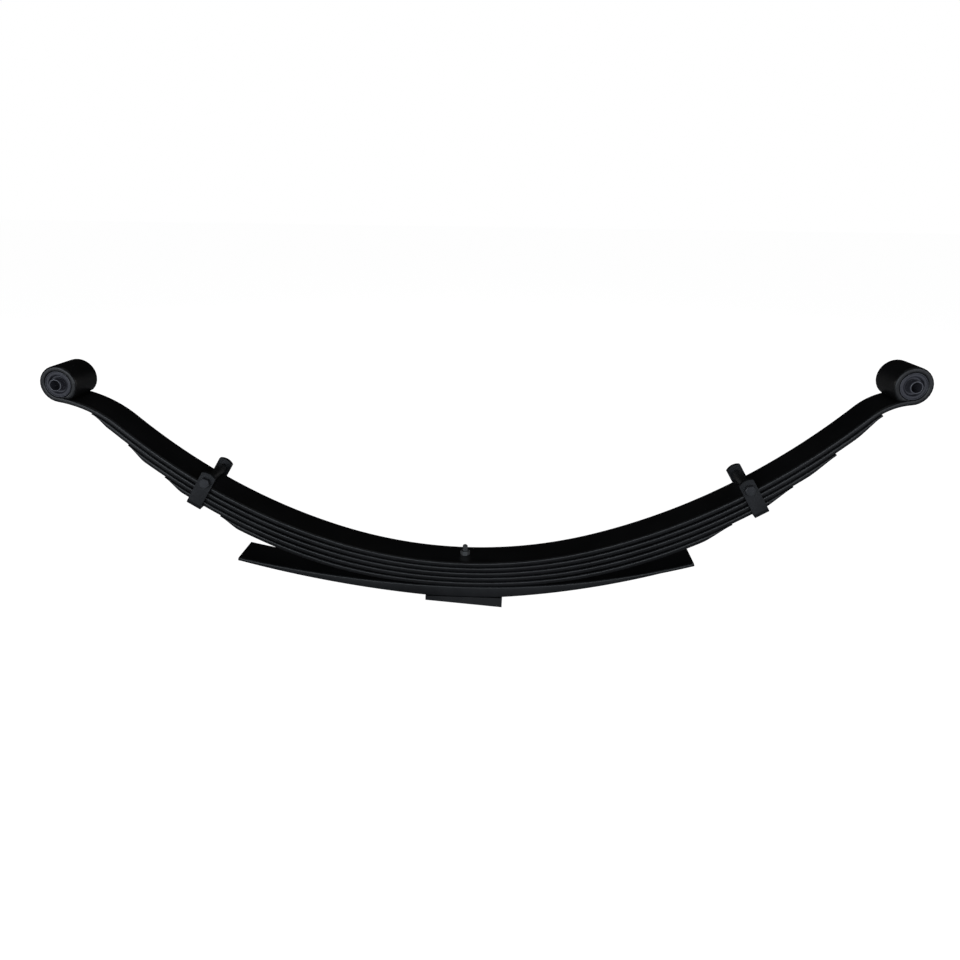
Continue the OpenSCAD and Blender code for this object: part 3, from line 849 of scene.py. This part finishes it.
def bevelNode(name, width):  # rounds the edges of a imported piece
    modifier = nodes[name].modifiers.new("edges", "BEVEL")
    modifier.width = width * mm
    modifier.segments = 3
    modifier.limit_method = "ANGLE"
    modifier.angle_limit = math.radians(35)
    modifier.harden_normals = True


for side in arms:
    bevelNode(f"{side}_clip_strap", clip["lip"])
bevelNode("axle_wedge", wedgeLip)
print("clips made")

camera = {
    "lens": 30.0,
    "sensor": 36.0,
    "place": (0.07306, -1.13975, 0.50786),  # the last is above the main leaf's seat
    "pitch": 18.642,
    "yaw": -2.593,
    "roll": -0.820,
}


def makeCamera():
    data = bpy.data.cameras.new("camera")
    data.lens = camera["lens"]
    data.sensor_width = camera["sensor"]
    obj = bpy.data.objects.new("camera", data)
    pitch, yaw, roll = (math.radians(camera[k]) for k in ("pitch", "yaw", "roll"))
    level = math.cos(pitch)
    ahead = Vector((math.sin(yaw) * level, math.cos(yaw) * level, -math.sin(pitch)))
    right = Vector((math.cos(yaw), -math.sin(yaw), 0))
    down = ahead.cross(right)
    tiltRight = math.cos(roll) * right + math.sin(roll) * down
    tiltDown = math.cos(roll) * down - math.sin(roll) * right
    obj.matrix_world = Matrix((
        (tiltRight.x, -tiltDown.x, -ahead.x, camera["place"][0]),
        (tiltRight.y, -tiltDown.y, -ahead.y, camera["place"][1]),
        (tiltRight.z, -tiltDown.z, -ahead.z, camera["place"][2] + packTop * mm),
        (0, 0, 0, 1),
    ))
    bpy.context.scene.collection.objects.link(obj)
    bpy.context.scene.camera = obj


stage = {"floor": (0.55, 0.55, 0.56), "half": 30, "glow": 0.985, "sky": 1.0, "fill": 0.008}


def makeStage():
    low, far = cadBox[0][2], stage["half"]
    mesh = bpy.data.meshes.new("floor")
    corners = [(-far, -far, low), (far, -far, low), (far, far, low), (-far, far, low)]
    mesh.from_pydata(corners, [], [(0, 1, 2, 3)])
    floor = bpy.data.objects.new("floor", mesh)
    bpy.context.scene.collection.objects.link(floor)
    material, tree, shader = newMaterial("floor")
    shader.inputs["Base Color"].default_value = (*stage["floor"], 1)
    shader.inputs["Roughness"].default_value = 0.9
    shader.inputs["Emission Color"].default_value = (1, 1, 1, 1)
    seen = tree.nodes.new("ShaderNodeLightPath")
    glow = tree.nodes.new("ShaderNodeMath")
    glow.operation = "MULTIPLY"
    glow.inputs[1].default_value = stage["glow"]
    link(tree, seen.outputs["Is Camera Ray"], glow.inputs[0])
    link(tree, glow.outputs[0], shader.inputs["Emission Strength"])
    mesh.materials.append(material)
    world = bpy.data.worlds.new("studio")
    bpy.context.scene.world = world
    world.use_nodes = True
    tree = world.node_tree
    back = tree.nodes["Background"]
    back.inputs["Color"].default_value = (1, 1, 1, 1)
    path = tree.nodes.new("ShaderNodeLightPath")
    level = tree.nodes.new("ShaderNodeMapRange")
    level.inputs["To Min"].default_value = stage["fill"]
    level.inputs["To Max"].default_value = stage["sky"]
    link(tree, path.outputs["Is Camera Ray"], level.inputs["Value"])
    link(tree, level.outputs["Result"], back.inputs["Strength"])


lamps = (
    {
        "name": "frontSoft", "place": (-0.5, -3.4, 0.45), "aim": (0, 0, 0.15),
        "size": (4.4, 0.8), "power": 52, "tint": (0.86, 0.93, 1.0),
    },
    {
        "name": "overhead", "place": (0.3, 0.6, 3.4), "aim": (0, 0, 0),
        "size": (2.4, 2.0), "power": 4, "tint": (1.0, 0.99, 0.97),
    },
    {
        "name": "rearLeft", "place": (-3.2, 2.0, 0.5), "aim": (0, 0, 0.2),
        "size": (1.2, 0.8), "power": 14, "tint": (1.0, 0.99, 0.97),
    },
    {
        "name": "rearRight", "place": (3.2, 2.0, 0.5), "aim": (0, 0, 0.2),
        "size": (1.2, 0.8), "power": 14, "tint": (1.0, 0.99, 0.97),
    },
    {
        "name": "leftEye", "place": (-1.5, -1.5, 0.5), "aim": (-0.59, 0, 0.33),
        "size": (0.7, 0.7), "power": 2.5, "tint": (0.88, 0.9, 1.0),
    },
    {
        "name": "rightEye", "place": (1.5, -1.5, 0.5), "aim": (0.62, 0, 0.35),
        "size": (0.7, 0.7), "power": 4, "tint": (0.88, 0.9, 1.0),
    },
)


def makeLamps():
    for lamp in lamps:
        data = bpy.data.lights.new(lamp["name"], "AREA")
        data.shape = "RECTANGLE"
        data.size, data.size_y = lamp["size"]
        data.energy = lamp["power"]
        data.color = lamp["tint"]
        obj = bpy.data.objects.new(lamp["name"], data)
        obj.location = lamp["place"]
        toward = Vector(lamp["aim"]) - Vector(lamp["place"])
        obj.rotation_euler = toward.to_track_quat("-Z", "Y").to_euler()
        bpy.context.scene.collection.objects.link(obj)


makeCamera()
makeStage()
makeLamps()
print("stage made")

slotNames = {s["node"]: s["material_slot"] for s in frame["record"]["subparts"]}
for name, obj in nodes.items():
    if slotNames.get(name) in materials and not obj.hide_render:
        for slot in obj.material_slots:
            slot.material = materials[slotNames[name]]
print("packed pieces painted")
